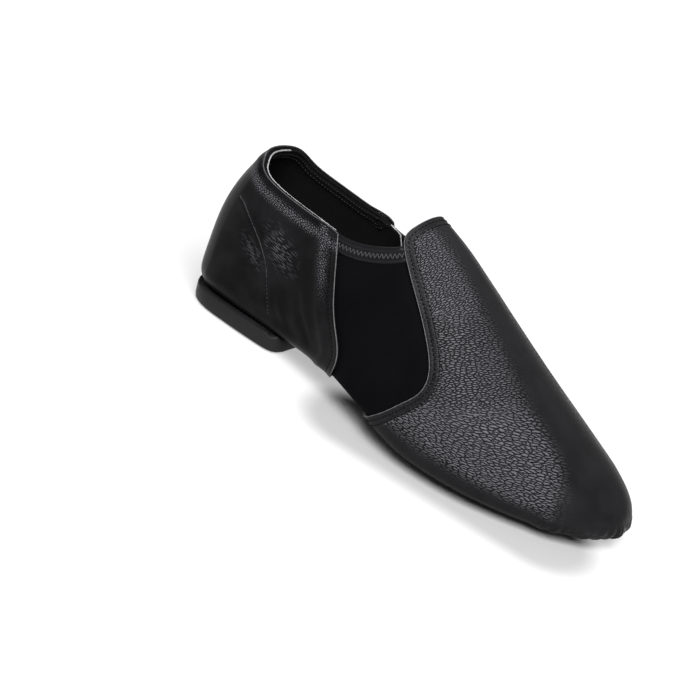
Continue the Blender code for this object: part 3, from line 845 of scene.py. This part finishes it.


# where the pebbles show, fading where the surface turns down; the same share sets where their tops get the
# painted highlight
def vampGrain(vertex):
    x, y, z = vertex.co / mm
    middle = toeBend * max(x, 0.0) ** 2
    away = -y if y < middle else y - 2 * middle
    side = blendStep(*grainZone["side"], away - ridgeAt(x))
    upward = blendStep(*grainZone["upward"], vertex.normal.z)
    toe = 1.0 - blendStep(*grainZone["toe"], x)
    border = blendStep(*grainZone["strip"], fromVampEdge(vertex) - vampShape["flatZone"])
    return side * upward * toe * (grainZone["stripShare"] + (1.0 - grainZone["stripShare"]) * border)


paint(vamp, "grain", vampGrain)
paint(vamp, "crinkle", lambda vertex: 0.0)
vampSkin = surfaceTree(vamp)
vampRows = [insetPath(vampEdge, distance * mm, vampSkin) for distance in vampShape["rows"]]
vamp.data.materials.append(vampLeather)
vamp.data.materials.append(cutEdge)
thicken(vamp, vampShape["wall"], use_quality_normals=True, material_offset_rim=1)
smooth(vamp)
seat(vamp, "leather", "vamp")
vampStitch = {"pitch": 2.1, "length": 1.3, "thread": 0.6, "lift": 0.08, "slot": "leather"}
for k, row in enumerate(vampRows):
    stitchRow("vampStitches%d" % (k + 1), row, vampStitch, threadBlack)
cutBead("vampCutEdge", vampEdge[:-1], cutEdge, "leather", closed=True)
print("vamp ready", len(vamp.data.polygons))


# quarter: a seam on each side with wrinkles beside it, rolled edges, a soft dent over the heel pad
quarterShape = {"levels": 3, "wall": 1.2, "row": 3.2, "bend": 45, "frontTop": 0.045, "foldFade": 0.3}
seamLine = ((-104.7, -18.3, 59.9), (-99.7, -20.3, 57.9), (-94.9, -21.6, 54.8), (-84.1, -23.2, 47.0),
            (-76.3, -23.8, 38.6), (-71.2, -24.1, 28.5), (-66.0, -24.0, 16.2))
heelMiddle = 4.3
# soft troughs (over zero) and ridges (under zero), in mm: depth and width, after a distance from an edge;
# the last number of some is the share of their length in which they die out
seamPresses = ((-0.40, 3.0, 0.2), (0.55, 0.75, 0.12))
toplinePresses = ((1.3, 0.25, 0.6, 0.0), (5.0, -0.55, 3.0, 0.05))
frontPresses = ((9.0, -0.55, 2.6), (quarterShape["row"], 0.3, 0.8))
# the same with a line of points
quarterFolds = (
    (0.9, 4.0, ((-86, -24, 14), (-70, -24, 17), (-54, -25, 19), (-44, -27, 16))),
    (-0.5, 3.2, ((-110, -20, 16), (-98, -23, 17), (-84, -24, 18))),
    (0.45, 2.2, ((-58, -25, 41), (-52, -26, 31), (-46, -27, 22))),
    (-0.35, 2.0, ((-66, -24, 30), (-60, -25, 22), (-55, -25, 17))),
    (0.35, 1.8, ((-50, -26, 30), (-43, -28, 23), (-37, -29, 18))),
    (-0.4, 2.5, ((-80, -23, 55), (-70, -23, 50), (-60, -24, 43))),
    (0.35, 2.0, ((-78, -23, 50), (-68, -23, 44), (-62, -24, 38))),
)


def otherSide(points):
    return tuple((x, 2 * heelMiddle - y, z) for x, y, z in points)


quarter = copyNode("quarter", "quarterPiece")
keepOuterSheet(quarter)
subdivide(quarter, quarterShape["levels"])
quarterRuns = edgeRuns(quarter, bend=quarterShape["bend"])
topline = max(quarterRuns, key=runHeight)
quarterFronts = [run for run in quarterRuns if run is not topline
                 and max(station[0].z for station in run) > quarterShape["frontTop"]]
quarterSkin = surfaceTree(quarter)
for depth, width, line in quarterFolds:
    for points in (line, otherSide(line)):
        press(quarter, handPath(points, quarterSkin), depth * mm, width * mm, quarterShape["foldFade"])
for points in (seamLine, otherSide(seamLine)):
    path = handPath(points, quarterSkin)
    for depth, width, fade in seamPresses:
        press(quarter, path, depth * mm, width * mm, fade)
for distance, depth, width, fade in toplinePresses:
    press(quarter, insetPath(topline, distance * mm, quarterSkin), depth * mm, width * mm, fade)
for front in quarterFronts:
    for distance, depth, width in frontPresses:
        press(quarter, insetPath(front, distance * mm, quarterSkin), depth * mm, width * mm)
topTree = pointTree([station[0] for station in topline])
frontTree = pointTree([station[0] for front in quarterFronts for station in front])
quarterSkin = surfaceTree(quarter)
seamPaths = [handPath(points, quarterSkin) for points in (seamLine, otherSide(seamLine))]

# grain along the topline and the upper front edges, in mm: share, distance from the edge, width; the band
# also sets where the painted highlight of the pebble tops lies, peaked where the rolled edges catch the light
topGrainAndHighlight = (0.85, 5.6, 2.2)
frontGrainAndHighlight = (0.6, 7.5, 3.0)
frontGrainRise = (0.030, 0.056)


def grainBeside(tree, vertex, share, distance, width):
    away = tree.find(vertex.co)[2] / mm
    return share * math.exp(-((away - distance) / width) ** 2)


def quarterGrain(vertex):
    byFront = grainBeside(frontTree, vertex, *frontGrainAndHighlight) * blendStep(*frontGrainRise, vertex.co.z)
    return max(grainBeside(topTree, vertex, *topGrainAndHighlight), byFront)


# wrinkles in two patches beside the seam, the larger one ahead of it, in mm: middle, length, width, strength;
# their ridges carry a painted highlight
wrinkles = (((-72, 49), 18, 9, 0.75), ((-86, 41), 14, 5.5, 0.6))
wrinkleSlope = (0.85, -0.53)
wrinkleFade = 1.15


def quarterCrinkle(vertex):
    most = 0.0
    for (x, z), along, across, strength in wrinkles:
        ahead, above = vertex.co.x / mm - x, vertex.co.z / mm - z
        a = (wrinkleSlope[0] * ahead + wrinkleSlope[1] * above) / along
        b = (wrinkleSlope[0] * above - wrinkleSlope[1] * ahead) / across
        most = max(most, strength * (1.0 - blendStep(0.0, wrinkleFade, math.hypot(a, b))))
    return most


paint(quarter, "grain", quarterGrain)
paint(quarter, "crinkle", quarterCrinkle)
frontRows = [insetPath(front, quarterShape["row"] * mm, quarterSkin) for front in quarterFronts]
quarter.data.materials.append(quarterLeather)
thicken(quarter, quarterShape["wall"], use_quality_normals=True)
smooth(quarter)
seat(quarter, "leather_quarter", "quarter")
quarterStitch = {"pitch": 2.1, "length": 1.5, "thread": 0.5, "lift": 0.05, "slot": "leather_quarter"}
seamStitch = dict(quarterStitch, pitch=1.9, length=1.0, thread=0.45, top=0.038)
seamFold = {"from": 0.034, "sink": 0.1, "thickness": 0.65, "taper": 0.6}
for k, row in enumerate(frontRows):
    stitchRow("quarterFrontStitches%d" % (k + 1), row, quarterStitch, threadBlack)
for k, path in enumerate(seamPaths):
    low = [station for station in path if station[0].z < seamStitch["top"]]
    stitchRow("quarterSeamStitches%d" % (k + 1), low, seamStitch, threadGrey)
    # the upper seam's fold is a bead whose light colour is a painted highlight
    high = [point - normal * seamFold["sink"] * mm for point, normal in path if point.z > seamFold["from"]]
    edgeBead("quarterSeamFold%d" % (k + 1), high, seamFold["thickness"], seamFoldHighlight, "leather_quarter",
             taper=seamFold["taper"])
for k, front in enumerate(quarterFronts):
    cutBead("quarterCutEdge%d" % (k + 1), front, cutEdge, "leather_quarter")
cutBead("quarterTopEdge", topline, topEdge, "leather_quarter")
print("quarter ready", len(quarter.data.polygons))


# inside the collar: a stitched hem strip under the topline, and the lining's raw front edges
hem = {
    "drops": (0.4, 1.2, 2.2, 3.2, 4.2, 5.0), "off": 0.35, "wall": 0.3, "rows": (1.4, 4.3), "search": 12,
    "front": ((-48.5, 27.2, 68.8), (-44.6, 27.2, 67.4), (-41.3, 26.3, 66.6), (-40.2, 26.5, 64.6),
              (-38.8, 27.2, 61), (-36.5, 28.0, 52), (-35, 28.5, 44)),
    "frontLift": 0.15, "frontThickness": 0.7, "frontTaper": 0.7}
rawLine = {"front": -0.051, "side": 0.010, "in": 1.25, "up": 0.15, "thickness": 0.75, "taper": 0.75}


def insidePoint(point, normal, off):
    hit = sockSkin.ray_cast(point - normal * hem["search"] * mm, normal)
    return (hit[0] + hit[1] * off * mm, hit[1]) if hit[0] is not None else (point, -normal)


def hemRow(drop):
    return [insidePoint(p, n, hem["off"]) for p, n in insetPath(topline, drop * mm, quarterSkin)]


hemRows = [hemRow(drop) for drop in hem["drops"]]
hemStrip = layGrid("collarHem", [[spot[0] for spot in row] for row in hemRows], -hem["wall"])
hemStrip.data.materials.append(liningCloth)
seat(hemStrip, "leather_quarter")
hemStitch = {"pitch": 1.8, "length": 1.2, "thread": 0.4, "lift": 0.32, "slot": "leather_quarter"}
for k, drop in enumerate(hem["rows"]):
    stitchRow("collarHemStitches%d" % (k + 1), hemRow(drop), hemStitch, threadGrey)
insideFront = [point + normal * hem["frontLift"] * mm for point, normal in handPath(hem["front"], sockSkin)]
edgeBead("liningFrontEdge", insideFront, hem["frontThickness"], rawEdge, "leather_quarter",
         taper=hem["frontTaper"])

# raw edge of the lining along the outer side of the collar, widest at the heel
ahead = max(range(len(collarRun)), key=lambda k: collarRun[k][0].x)
rimRun = [station for station in collarRun[ahead:-1] + collarRun[:ahead]
          if station[0].x < rawLine["front"] and station[0].y < rawLine["side"]]
if rimRun[0][0].y < rimRun[-1][0].y:
    rimRun.reverse()
rimPoints = [point - (normal * rawLine["in"] + inward * rawLine["up"]) * mm
             for point, normal, inward in rimRun]
edgeBead("liningRawEdge", rimPoints, rawLine["thickness"], rawEdge, "leather_quarter", taper=rawLine["taper"])
print("hem ready")


# folded bands on the gores: rolled top edge, zigzag seam, flat lower edge, ends tucked under the leather
# the profile runs down from the fold: drop and lift in mm
bandShape = {
    "wall": 0.35, "tuck": 0.28, "rear": 4.0, "ahead": 3.0, "aheadSteps": 4, "blend": 1.0,
    "side": 0.012, "from": -0.0525, "to": -0.0150, "top": 0.081,
    "profile": ((0.0, 0.30), (0.3, 0.90), (0.8, 1.40), (1.5, 1.65), (2.2, 1.55), (2.7, 1.15),
                (3.0, 0.70), (3.3, 0.45), (4.2, 0.42), (5.1, 0.45), (5.5, 0.70), (6.0, 1.00),
                (6.6, 1.10), (7.1, 0.95), (7.4, 0.60), (7.6, 0.12))}
zigzag = {"pitch": 2.1, "reach": 2.4, "thread": 0.42, "drop": 4.3, "lift": 0.55, "overlap": 1.1, "tucked": 4,
          "slot": "band_cloth"}


def bandStations(side):
    gore = [station for station in collarRun if station[0].y * side > bandShape["side"]
            and bandShape["from"] < station[0].x < bandShape["to"] and station[0].z < bandShape["top"]]
    gore.sort(key=lambda station: station[0].x)
    ahead = (gore[-1][0] - gore[-2][0]).normalized()
    point, normal, inward = gore[-1]
    stride = bandShape["ahead"] / bandShape["aheadSteps"] * mm
    for step in range(1, bandShape["aheadSteps"] + 1):
        spot, facing, index, away = guideSkin.find_nearest(point + ahead * step * stride)
        gore.append((spot, facing, inward))
    return gore


for side, node in ((-1, "gore_band_lateral"), (1, "gore_band_medial")):
    name = "foldedBandOuter" if side < 0 else "foldedBandInner"
    stations = bandStations(side)
    lengths = [length / mm for length in lengthsAlong([station[0] for station in stations])]
    rows = []
    for drop, out in bandShape["profile"]:
        row = []
        for k, (spot, normal) in enumerate(insetPath(stations, drop * mm, guideSkin)):
            inside = min(lengths[k] - bandShape["rear"], lengths[-1] - lengths[k] - bandShape["ahead"])
            shown = blendStep(-bandShape["blend"], bandShape["blend"], inside)
            row.append(spot + normal * (bandShape["tuck"] + max(out - bandShape["tuck"], 0.0) * shown) * mm)
        rows.append(row if side < 0 else row[::-1])
    band = layGrid(name, rows[::-1], bandShape["wall"])
    band.data.materials.append(bandCloth)
    seat(band, "band_cloth", node)
    middle = insetPath(stations, zigzag["drop"] * mm, guideSkin)
    places = []
    spots = spread(middle, 0.5 * zigzag["pitch"] * mm)[zigzag["tucked"]:-zigzag["tucked"]]
    for k, (point, normal, tangent) in enumerate(spots):
        slant = math.atan2(2 * zigzag["reach"], zigzag["pitch"]) * (1 if k % 2 else -1)
        across = Matrix.Rotation(slant, 3, normal) @ tangent
        places.append(standing(point + normal * zigzag["lift"] * mm, normal, across))
    length = zigzag["overlap"] * math.hypot(zigzag["reach"], 0.5 * zigzag["pitch"]) * mm
    piece = plantCopies(name + "Zigzag", stitchShape(length, zigzag["thread"] * mm), places)
    piece.data.materials.append(threadZigzag)
    seat(piece, zigzag["slot"])
print("bands ready")


# soles: sunk ground with raised dots down to the floor plane
tread = {"pitch": 2.7, "turn": 32.0, "dot": 1.7, "point": 0.4, "height": 0.6, "out": 0.45, "border": 1.5,
         "level": -0.97, "facing": -0.2}
padShift = {"ahead": 1.8, "from": (-122, -80), "lower": 0.5, "rim": (6, 10)}


def dotShape():
    bpy.ops.object.select_all(action="DESELECT")
    bpy.ops.mesh.primitive_cylinder_add(vertices=8, radius=0.5 * tread["dot"] * mm,
                                        depth=tread["height"] * mm, end_fill_type="NGON")
    dot = bpy.context.object
    editChosen(dot, "FACE", lambda face: face.normal.z > 0.9)
    bpy.ops.transform.resize(value=(tread["point"], tread["point"], 1.0))
    bpy.ops.object.mode_set(mode="OBJECT")
    return dot


def makeSole(sole, node, material, slot):
    low = [vertex for vertex in sole.data.vertices
           if vertex.normal.z < tread["facing"] or vertex.co.z < 0.5 * tread["height"] * mm]
    for vertex in low:
        vertex.co.z += tread["height"] * mm
    sole.data.update()
    sole.data.materials.append(material)
    smooth(sole, 35)
    skin = surfaceTree(sole)
    first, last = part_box(node)
    turn = Matrix.Rotation(math.radians(tread["turn"]), 3, "Z")
    reach = int((last - first).length / (tread["pitch"] * mm))
    middle = 0.5 * (first + last)
    places = []
    for i in range(-reach, reach + 1):
        for j in range(-reach, reach + 1):
            spot = middle + turn @ Vector((i, j, 0)) * tread["pitch"] * mm
            start = Vector((spot.x, spot.y, -0.01))
            edge = tread["border"] * mm
            border = [start + Vector(step) * edge for step in ((1, 0, 0), (0, 1, 0), (-1, 0, 0), (0, -1, 0))]
            hits = [skin.ray_cast(point, Vector((0, 0, 1))) for point in [start] + border]
            if all(hit[0] is not None and hit[1].z < tread["level"] for hit in hits):
                point, normal = hits[0][:2]
                middleOfDot = point + normal * tread["out"] * tread["height"] * mm
                places.append(standing(middleOfDot, normal, turn.col[0]))
    dots = plantCopies(sole.name + "Dots", dotShape(), places)
    dots.data.materials.append(material)
    seat(sole, slot, node)
    seat(dots, slot)
    print(sole.name, len(places), "dots")


patch = copyNode("forefoot_sole", "forefootPatch")
makeSole(patch, "forefoot_sole", treadRubber, "rubber")
heelPad = copyNode("heel_sole", "heelPad")
for vertex in heelPad.data.vertices:
    back = 1 - blendStep(*padShift["from"], vertex.co.x / mm)
    vertex.co.x += padShift["ahead"] * back * mm
    vertex.co.z -= padShift["lower"] * back * blendStep(*padShift["rim"], vertex.co.z / mm) * mm
heelPad.data.update()
makeSole(heelPad, "heel_sole", heelRubber, "heel_rubber")


# insole: soft cloth over foam
insole = copyNode("insole", "insolePad")
creaseSharp(insole)
subdivide(insole, 2)
insole.data.materials.append(insoleCloth)
smooth(insole)
seat(insole, "insole_cloth", "insole")
print("insole ready")


# floor, lights and camera; a glow is given from one distance to another, by its strength at each
floorLook = {
    "size": 24.0, "dark": (0.42, 0.42, 0.42), "light": (0.43, 0.43, 0.43), "rough": 0.3, "specular": 0.25,
    "glow": (0.018, 0.034, 0.0, 0.45), "farGlow": (0.15, 0.90, 0.0, 0.80),
    "shade": ((0.0, -0.030, 0.0), (0.095, -0.022, 0.0))}
bpy.ops.object.select_all(action="DESELECT")
bpy.ops.mesh.primitive_plane_add(size=floorLook["size"], location=(0, 0, 0))
floor = bpy.context.object
floor.name = "paleFloor"
floorPaint = newMaterial("floorPaint", floorLook, **{"Emission Color": (1.0, 1.0, 1.0, 1.0)})
floorPoint = objectPoint(floorPaint)
speckle = tone(floorPaint, noise(floorPaint, floorPoint, 3.0), floorLook)
wire(floorPaint, speckle, "Base Color")
# painted shadow: the floor glows less along the outer side of the forefoot
shadeStart, shadeEnd = (Vector(point) for point in floorLook["shade"])
shadeRun = shadeEnd - shadeStart
fromStart = vectorNode(floorPaint, "SUBTRACT", floorPoint, shadeStart)["Vector"]
along = vectorNode(floorPaint, "DOT_PRODUCT", fromStart, shadeRun)["Value"]
along = rangeOf(floorPaint, along, 0.0, shadeRun.length_squared, 0.0, 1.0)
nearest = addNode(floorPaint, "VectorMath", {0: shadeRun, "Scale": along}, operation="SCALE")
farOff = vectorNode(floorPaint, "DISTANCE", fromStart, nearest.outputs["Vector"])["Value"]
glow = combine(floorPaint, "ADD", rangeOf(floorPaint, farOff, *floorLook["glow"], "SMOOTHSTEP"),
               rangeOf(floorPaint, farOff, *floorLook["farGlow"]))
wire(floorPaint, glow, "Emission Strength")
floor.data.materials.append(floorPaint)

lights = (
    {"name": "keyBox", "place": (0.36, -0.68, 1.10), "aim": (0.02, 0.0, 0.03), "size": (0.9, 0.9),
     "power": 34},
    {"name": "backBox", "place": (-0.2, 2.2, 2.2), "aim": (0.0, 0.2, 0.0), "size": (2.4, 1.6), "power": 12},
)
for light in lights:
    bpy.ops.object.select_all(action="DESELECT")
    bpy.ops.object.light_add(type="AREA", location=light["place"])
    lamp = bpy.context.object
    lamp.name = light["name"]
    lamp.data.shape = "RECTANGLE"
    lamp.data.size, lamp.data.size_y = light["size"]
    lamp.data.energy = light["power"]
    lamp.rotation_euler = (Vector(light["aim"]) - Vector(light["place"])).to_track_quat("-Z", "Y").to_euler()
room = {"color": (1.0, 1.0, 1.0, 1.0), "strength": 0.25}
world = bpy.data.worlds.new("paleRoom")
bpy.context.scene.world = world
world.use_nodes = True
world.node_tree.nodes["Background"].inputs["Color"].default_value = room["color"]
world.node_tree.nodes["Background"].inputs["Strength"].default_value = room["strength"]
bpy.context.scene.view_settings.view_transform = "Standard"

view = {"azimuth": 24.575, "elevation": 24.87, "roll": 22.448, "distance": 0.61124,
        "lookAt": (-0.02459, -0.01402, 0.02107), "lens": 67.963, "sensor": 36.0}
azimuth, elevation, roll = (math.radians(view[key]) for key in ("azimuth", "elevation", "roll"))
toward = Vector((math.sin(azimuth) * math.cos(elevation), -math.cos(azimuth) * math.cos(elevation),
                 math.sin(elevation)))
level = Vector((math.cos(azimuth), math.sin(azimuth), 0.0))
upright = toward.cross(level)
right = level * math.cos(roll) + upright * math.sin(roll)
up = upright * math.cos(roll) - level * math.sin(roll)
bpy.ops.object.camera_add()
camera = bpy.context.object
camera.name = "photoCamera"
camera.matrix_world = Matrix.Translation(Vector(view["lookAt"]) + toward * view["distance"]) @ Matrix(
    (right, up, toward)).transposed().to_4x4()
camera.data.lens = view["lens"]
camera.data.sensor_width = view["sensor"]
bpy.context.scene.camera = camera
print("stage ready")
